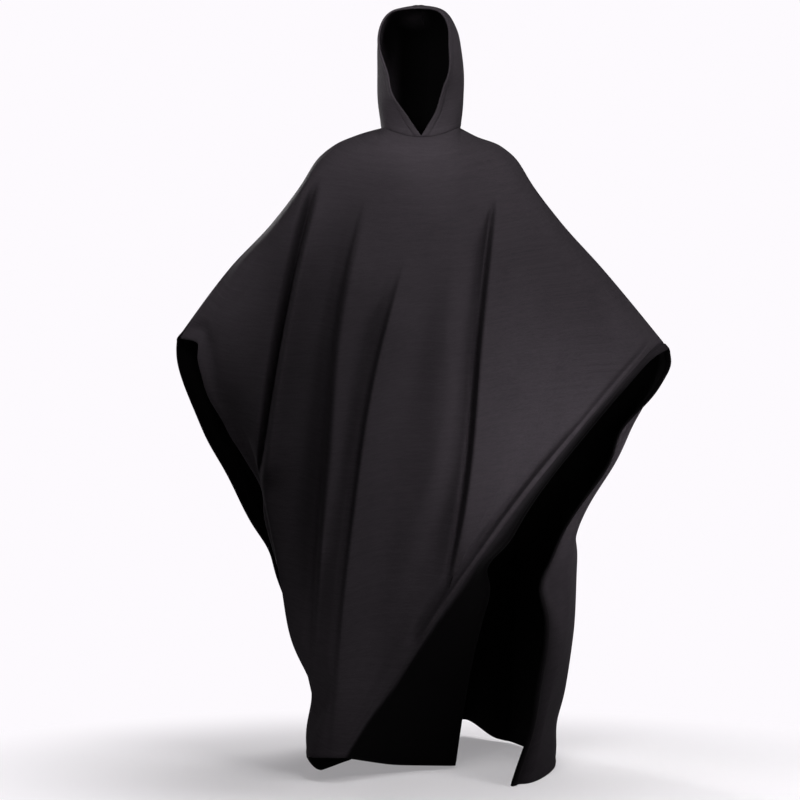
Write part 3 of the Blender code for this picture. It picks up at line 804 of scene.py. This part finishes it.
def front_dress(height, beside, side_left, above):
    """The lift and the painted shade of the front's face. beside is how far right of the ridge a point
    lies.
    """
    strength = smooth_step((height - RIDGE_END) / RIDGE_END_SPREAD + 0.5)
    strength = strength * smooth_step((above - RIDGE_START) / RIDGE_START_SPREAD)
    lift = -HEM_DIP * bell(side_left - HEM_DIP_PLACE, HEM_DIP_WIDTH)
    lift = lift + strength * RIDGE_ROLL * bell(beside, RIDGE_ROLL_WIDTH)
    shallow = strength * (1.0 - smooth_step((height - RIDGE_VALLEY_TOP) / RIDGE_VALLEY_SPREAD))
    lift = lift - shallow * RIDGE_VALLEY * bell(beside + RIDGE_VALLEY_PLACE, RIDGE_VALLEY_WIDTH)
    lower = smooth_step((RIDGE_LOW - height) / RIDGE_LOW_SPREAD)
    upper = smooth_step((height - RIDGE_END) / RIDGE_UPPER_SPREAD)
    start = RIDGE_BACK + RIDGE_BACK_UPPER * upper - RIDGE_BACK_LOWER * lower
    folded = smooth_step((beside - start) / FOLDED_WIDTH)
    turned = smooth_step((beside - start - TURNED_PLACE) / (TURNED_WIDTH + TURNED_WIDER * upper))
    painted_shade = UNSHADED_OUTSIDE + (PAINTED_SHADE_FOLDED - UNSHADED_OUTSIDE) * folded
    return lift, painted_shade + (PAINTED_SHADE_TURNED - PAINTED_SHADE_FOLDED) * turned


def back_dress(height, side_left, side_right):
    """The lift and the painted shade of the back's face."""
    lift = -HEM_DIP * bell(np.minimum(side_left, side_right) - HEM_DIP_PLACE, HEM_DIP_WIDTH)
    near = np.clip(1.0 - side_right / CURL_WIDTH, 0.0, 1.0)
    lift = lift - CURL * near**2 * bell(height - CURL_HEIGHT, CURL_SPREAD)
    wide = DIM_WIDTH + DIM_WIDER * smooth_step((DIM_TOP - height) / DIM_SPREAD)
    dim = np.clip(1.0 - side_right / wide, 0.0, 1.0)
    shade = bell(height - SHADE_HEIGHT, SHADE_SPREAD)
    shade = shade * smooth_step((SHADE_REACH - side_right) / SHADE_EDGE)
    dim = np.maximum(dim, SHADE_STRENGTH * shade)
    return lift, UNSHADED_OUTSIDE - (UNSHADED_OUTSIDE - PAINTED_SHADE_CURLED) * dim


def panel(name, form):
    grid, top_inward, columns, named = panel_grid(form)
    normals = grid_normals(grid) * (1.0 if form.forward else -1.0)
    height = grid[:, :, 2]
    side_left = reach_from(grid, 0, False)
    side_right = reach_from(grid, 0, True)
    above = reach_from(grid, 1, False)
    below = reach_from(grid, 1, True)
    if form.forward:
        beside = side_left - side_left[column_at(columns, named["ridge"])][None, :]
        lift, painted_shade_out = front_dress(height, beside, side_left, above)
    else:
        lift, painted_shade_out = back_dress(height, side_left, side_right)
    # The inside is painted dark, for the shade that falls there
    painted_shade_in = np.full(height.shape, PAINTED_SHADE_INSIDE)
    lift = lift * smooth_step(above / TOP_GROW)
    seams = np.where(on_neck(columns, named), NECK_SEAM_SWELL, SEAM_SWELL)
    lift = lift + seam_swell(above, seams[:, None])
    relief = hem_relief(np.minimum(np.minimum(side_left, side_right), below))
    outer = grid + normals * (lift + relief)[:, :, None]
    inner = grid + normals * (lift - relief - CLOTH)[:, :, None]
    inner[:, 0] = outer[:, 0] + CLOTH * top_inward
    flat = cloth_places(side_left, grid)
    if not form.forward:
        outer, inner, flat = outer[::-1], inner[::-1], flat[::-1]
        painted_shade_out, painted_shade_in = painted_shade_out[::-1], painted_shade_in[::-1]
    return cloth_wall(name, outer, inner, (painted_shade_out, painted_shade_in), flat, ("first", "last", "bottom"))


# ---- The hood ----

def hood_grid(wider):
    """The outer points of the hood's half at +X facing ahead, and the way in along its neckline."""
    count = NECK_CELLS * HOOD_FINE
    half = np.linspace(0.0, 0.5 * math.pi, count // 2 + 1)
    xs = NECK_HALF_WIDTH * np.sin(half)
    edge = [neck_edge(x, True) for x in xs] + [neck_edge(x, False) for x in xs[-2::-1]]
    bottom, inward = (np.array(part) for part in zip(*edge))
    along = unit(np.gradient(bottom, axis=0))
    up = unit(np.cross(along, inward))
    bottom = bottom - SEAM_LAP * up * np.sign(up[:, 2:])
    columns = np.linspace(0.0, 1.0, count + 1)
    levels = [bottom]
    for place, level in enumerate(HOOD_LEVELS):
        side = np.array(level.side)
        back = np.array((0.0,) + level.back)
        corner = (1.0 - CORNER_BACK) * side + CORNER_BACK * back
        corner[0] = CORNER_WIDTH * side[0]
        rim = np.array(level.rim)
        rim[0] += wider[place] if place < len(wider) else 0.0
        levels.append(smooth_through(HOOD_PLACES, (rim, side, corner, back), columns))
    marks = np.linspace(0.0, 1.0, len(levels))
    rows = np.linspace(1.0, 0.0, HOOD_ROWS + 1)
    return smooth_through(marks, np.array(levels), rows).transpose(1, 0, 2), inward


def hood_inward(grid):
    """The way in from each point of the hood's half, within the middle plane along its seam."""
    inward = -grid_normals(grid)
    inward[-1, :, 0] = 0.0
    inward[:, 0, 0] = 0.0
    inward[-1, 0] = (0.0, -1.0, -1.0)
    return unit(inward)


def hood_painted_light(grid):
    """How much painted light lies on the hood's inside, where light falls in, from 0 to 1."""
    side = smooth_step((-grid[:, :, 0] - PAINTED_LIGHT_SIDE) / PAINTED_LIGHT_SIDE_WIDTH)
    crown = smooth_step((grid[:, :, 2] - PAINTED_LIGHT_TOP) / PAINTED_LIGHT_TOP_HEIGHT)
    crown = crown * smooth_step((PAINTED_LIGHT_RIGHT - grid[:, :, 0]) / PAINTED_LIGHT_RIGHT_WIDTH)
    return np.maximum(side, crown)


def hood_half(name, sign):
    """The hood's half at the side sign: the form at +X, mirrored for the left, and turned."""
    grid, bottom_inward = hood_grid(HOOD_WIDER[sign])
    inward = hood_inward(grid)
    rim = reach_from(grid, 0, False)
    seam = np.minimum(reach_from(grid, 0, True), reach_from(grid, 1, False))
    neck = reach_from(grid, 1, True)
    relief = hem_relief(rim)
    lift = relief + seam_swell(seam, SEAM_SWELL) + seam_swell(neck, NECK_SEAM_SWELL)
    lift = lift * smooth_step(neck / HOOD_GROW)
    grid = grid - inward * lift[:, :, None]
    inward[:, -1] = bottom_inward
    grid[:, :, 0] = np.maximum(grid[:, :, 0], 0.0) - SEAM_LAP / 2
    flat = cloth_places(rim, grid)
    above = grid[:, :, 2] - NECK_SIDE_HEIGHT
    turned = HOOD_TURN * smooth_step((above - HOOD_TURN_START) / HOOD_TURN_HEIGHT)
    for vectors in (grid, inward):
        vectors[:, :, 0] *= sign
        x = vectors[:, :, 0] * np.cos(turned) - vectors[:, :, 1] * np.sin(turned)
        y = vectors[:, :, 0] * np.sin(turned) + vectors[:, :, 1] * np.cos(turned)
        vectors[:, :, 0], vectors[:, :, 1] = x, y
    inner = grid + inward * (CLOTH + relief)[:, :, None]
    painted_shade_out = np.full(grid.shape[:2], UNSHADED_OUTSIDE)
    # The hood's inside is painted dark for its shade, and painted lighter where light falls in
    painted_shade_in = PAINTED_SHADE_IN_HOOD + (PAINTED_LIGHT_IN_HOOD - PAINTED_SHADE_IN_HOOD) * hood_painted_light(grid)
    if sign == RIGHT:
        return cloth_wall(name, grid, inner, (painted_shade_out, painted_shade_in), flat, ("first",))
    return cloth_wall(name, grid[::-1], inner[::-1], (painted_shade_out, painted_shade_in[::-1]), flat[::-1], ("last",))


# ---- Material ----

BLANKET = (0.0405, 0.0345, 0.0405)

# The colour varies between low and high, in four ways: level streaks, the rows of the knit, wide
# patches, and the fuzz of the nap
Noise = namedtuple("Noise", "scale detail stretch low high")
TONES = (
    Noise(8.0, 4.0, (1.0, 14.0, 1.0), 0.91, 1.09),
    Noise(45.0, 3.0, (1.0, 6.0, 1.0), 0.90, 1.10),
    Noise(5.0, 3.0, (1.0, 1.0, 1.0), 0.92, 1.08),
    Noise(420.0, 3.0, (1.0, 1.0, 1.0), 0.85, 1.15),
)
NOISE_LOW = 0.25
NOISE_HIGH = 0.75

# The bump: level rows of this share, and fine fuzz
ROWS_SHARE = 0.35
ROWS_SCALE = 110.0
FUZZ_SCALE = 700.0
FUZZ_DETAIL = 4.0
BUMP_DEPTH = 0.0006


def node_material(name):
    made = bpy.data.materials.new(name)
    made.use_nodes = True
    nodes = made.node_tree.nodes
    return made, nodes, made.node_tree.links, nodes["Principled BSDF"]


def blanket_material(name):
    material, nodes, links, shader = node_material(name)
    shader.inputs["Roughness"].default_value = 0.95
    shader.inputs["Specular IOR Level"].default_value = 0.03
    shader.inputs["Sheen Weight"].default_value = 0.01
    shader.inputs["Sheen Roughness"].default_value = 0.45
    shader.inputs["Sheen Tint"].default_value = (0.9, 0.85, 0.9, 1.0)
    place = nodes.new("ShaderNodeAttribute")
    place.attribute_name = "cloth"
    painted_shade = nodes.new("ShaderNodeAttribute")
    painted_shade.attribute_name = "painted_shade"

    def noise(scale, detail, stretch):
        mapping = nodes.new("ShaderNodeMapping")
        mapping.inputs["Scale"].default_value = stretch
        links.new(place.outputs["Vector"], mapping.inputs["Vector"])
        made = nodes.new("ShaderNodeTexNoise")
        made.inputs["Scale"].default_value = scale
        made.inputs["Detail"].default_value = detail
        made.inputs["Roughness"].default_value = 0.6
        links.new(mapping.outputs["Vector"], made.inputs["Vector"])
        return made.outputs["Fac"]

    def ranged(value, low, high):
        made = nodes.new("ShaderNodeMapRange")
        made.inputs["From Min"].default_value = NOISE_LOW
        made.inputs["From Max"].default_value = NOISE_HIGH
        made.inputs["To Min"].default_value = low
        made.inputs["To Max"].default_value = high
        links.new(value, made.inputs["Value"])
        return made.outputs["Result"]

    def math_node(operation, a, b):
        made = nodes.new("ShaderNodeMath")
        made.operation = operation
        for socket, value in zip(made.inputs, (a, b)):
            if isinstance(value, float):
                socket.default_value = value
            else:
                links.new(value, socket)
        return made.outputs["Value"]

    tones = [ranged(noise(t.scale, t.detail, t.stretch), t.low, t.high) for t in TONES]
    tone = tones[0]
    # The painted shade held on the mesh darkens this colour: on the insides, on the turned back cloth
    # and at the back's curled edge
    for other in tones[1:] + [painted_shade.outputs["Fac"]]:
        tone = math_node("MULTIPLY", tone, other)
    colour = nodes.new("ShaderNodeVectorMath")
    colour.operation = "SCALE"
    colour.inputs[0].default_value = BLANKET
    links.new(tone, colour.inputs["Scale"])
    links.new(colour.outputs["Vector"], shader.inputs["Base Color"])
    rows = nodes.new("ShaderNodeTexWave")
    rows.wave_type = "BANDS"
    rows.bands_direction = "Y"
    rows.inputs["Scale"].default_value = ROWS_SCALE
    rows.inputs["Distortion"].default_value = 1.2
    rows.inputs["Detail"].default_value = 2.0
    links.new(place.outputs["Vector"], rows.inputs["Vector"])
    fuzz = noise(FUZZ_SCALE, FUZZ_DETAIL, (1.0, 1.0, 1.0))
    height = math_node("ADD", math_node("MULTIPLY", rows.outputs["Fac"], ROWS_SHARE), fuzz)
    bump = nodes.new("ShaderNodeBump")
    bump.inputs["Strength"].default_value = 0.5
    bump.inputs["Distance"].default_value = BUMP_DEPTH
    links.new(height, bump.inputs["Height"])
    links.new(bump.outputs["Normal"], shader.inputs["Normal"])
    return material


# ---- Stage, lights and camera ----

CAMERA_HEIGHT = 0.858
CAMERA_PLACE = (-0.049, -5.0, CAMERA_HEIGHT - NECK_HEIGHT)
CAMERA_LENS = 95.74
SENSOR = 36.0
BACKGROUND = (0.982, 0.955, 0.990)

# The floor fades to the background between these distances, which count less along X. At its middle it
# has FLOOR_GLOW of the background's light.
FLOOR_SIZE = 60.0
FLOOR_FADE = (0.35, 0.95)
FLOOR_STRETCH = (0.75, 1.0, 1.0)
FLOOR_GLOW = 0.30

# Soft boxes near the cloth, in watts and degrees of spread: a narrow one lights what its name says
Light = namedtuple("Light", "name place aim size energy spread")
LIGHTS = (
    Light("top front", (0.36, -1.02, 0.92), (0.0, 0.0, -0.10), 0.6, 11.0, 180.0),
    Light("right front", (1.16, -0.77, -0.50), (0.25, 0.0, -0.60), 0.5, 5.8, 180.0),
    Light("ridge", (0.70, -1.08, -0.65), (0.24, 0.0, -0.80), 0.4, 0.56, 42.0),
    Light("hood", (-0.36, -1.14, 0.26), (0.02, 0.0, 0.17), 0.4, 1.2, 50.0),
    Light("left wing", (-1.24, -1.00, 0.57), (-0.52, 0.0, -0.37), 0.4, 0.37, 26.0),
    Light("hood side", (1.00, -0.90, 0.30), (0.08, 0.0, 0.22), 0.2, 0.050, 16.0),
    Light("behind", (-1.20, 2.20, 0.10), (0.0, 0.2, -0.45), 0.5, 6.5, 36.0),
    Light("middle", (0.30, -1.60, -0.35), (-0.02, 0.0, -0.40), 0.3, 0.045, 20.0),
    Light("low left", (-0.50, -1.60, -1.20), (-0.24, 0.0, -1.28), 0.3, 0.14, 30.0),
)
FLOOR_LIGHT = Light("floor", (0.45, 1.35, 2.55), (0.0, 0.0, -1.49), 2.3, 104.0, 180.0)
WORLD_STRENGTH = 0.028


def mixed(nodes, links, sources, output):
    """Sends a mix to the output. The sources are its share and its first and second shader."""
    mix = nodes.new("ShaderNodeMixShader")
    for socket, source in zip(mix.inputs, sources):
        links.new(source, socket)
    links.new(mix.outputs["Shader"], nodes[output].inputs["Surface"])


def floor():
    """The floor, which lights nothing. Returns a collection of it alone, for its own light."""
    bpy.ops.mesh.primitive_plane_add(size=FLOOR_SIZE, location=(0.0, 0.0, -NECK_HEIGHT))
    made = bpy.context.object
    made.name = "floor"
    made.visible_diffuse = False
    material, nodes, links, shader = node_material("floor")
    shader.inputs["Base Color"].default_value = (0.80, 0.78, 0.80, 1.0)
    shader.inputs["Roughness"].default_value = 0.9
    shader.inputs["Specular IOR Level"].default_value = 0.0
    glow = nodes.new("ShaderNodeEmission")
    glow.inputs["Color"].default_value = BACKGROUND + (1.0,)
    where = nodes.new("ShaderNodeTexCoord")
    stretch = nodes.new("ShaderNodeMapping")
    stretch.inputs["Scale"].default_value = FLOOR_STRETCH
    far = nodes.new("ShaderNodeVectorMath")
    far.operation = "LENGTH"
    fade = nodes.new("ShaderNodeMapRange")
    fade.interpolation_type = "SMOOTHSTEP"
    fade.inputs["From Min"].default_value, fade.inputs["From Max"].default_value = FLOOR_FADE
    fade.inputs["To Min"].default_value = FLOOR_GLOW
    links.new(where.outputs["Object"], stretch.inputs["Vector"])
    links.new(stretch.outputs["Vector"], far.inputs[0])
    links.new(far.outputs["Value"], fade.inputs["Value"])
    mixed(nodes, links, (fade.outputs["Result"], shader.outputs["BSDF"], glow.outputs["Emission"]),
          "Material Output")
    made.data.materials.append(material)
    alone = bpy.data.collections.new("floor alone")
    alone.objects.link(made)
    return alone


def area_light(light):
    data = bpy.data.lights.new(light.name, "AREA")
    data.energy = light.energy
    data.size = light.size
    data.spread = math.radians(light.spread)
    made = scene_object(light.name, data)
    made.location = light.place
    made.rotation_euler = (Vector(light.aim) - Vector(light.place)).to_track_quat("-Z", "Y").to_euler()
    made.visible_camera = False
    return made


def world():
    """A pale background that is seen at full strength, and lights the cloth faintly."""
    made = bpy.data.worlds.new("studio")
    bpy.context.scene.world = made
    made.use_nodes = True
    nodes, links = made.node_tree.nodes, made.node_tree.links
    seen = nodes["Background"]
    seen.inputs["Color"].default_value = BACKGROUND + (1.0,)
    dim = nodes.new("ShaderNodeBackground")
    dim.inputs["Color"].default_value = (1.0, 1.0, 1.0, 1.0)
    dim.inputs["Strength"].default_value = WORLD_STRENGTH
    path = nodes.new("ShaderNodeLightPath")
    mixed(nodes, links, (path.outputs["Is Camera Ray"], dim.outputs["Background"],
                         seen.outputs["Background"]), "World Output")


def camera():
    data = bpy.data.cameras.new("camera")
    data.lens = CAMERA_LENS
    data.sensor_width = SENSOR
    made = scene_object("camera", data)
    made.location = CAMERA_PLACE
    made.rotation_euler = (math.radians(90.0), 0.0, 0.0)
    bpy.context.scene.camera = made


def main():
    blanket = blanket_material("blanket")
    made = {
        "front": panel("front_cloth", FRONT),
        "back": panel("back_cloth", BACK),
        "hood_left": hood_half("hood_left_cloth", LEFT),
        "hood_right": hood_half("hood_right_cloth", RIGHT),
    }
    for node, piece in made.items():
        piece.data.materials.append(blanket)
        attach(piece, "root")
        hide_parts(node)
    floor_alone = floor()
    world()
    for light in LIGHTS:
        area_light(light)
    area_light(FLOOR_LIGHT).light_linking.receiver_collection = floor_alone
    camera()
    bpy.context.scene.view_settings.view_transform = "Standard"


main()
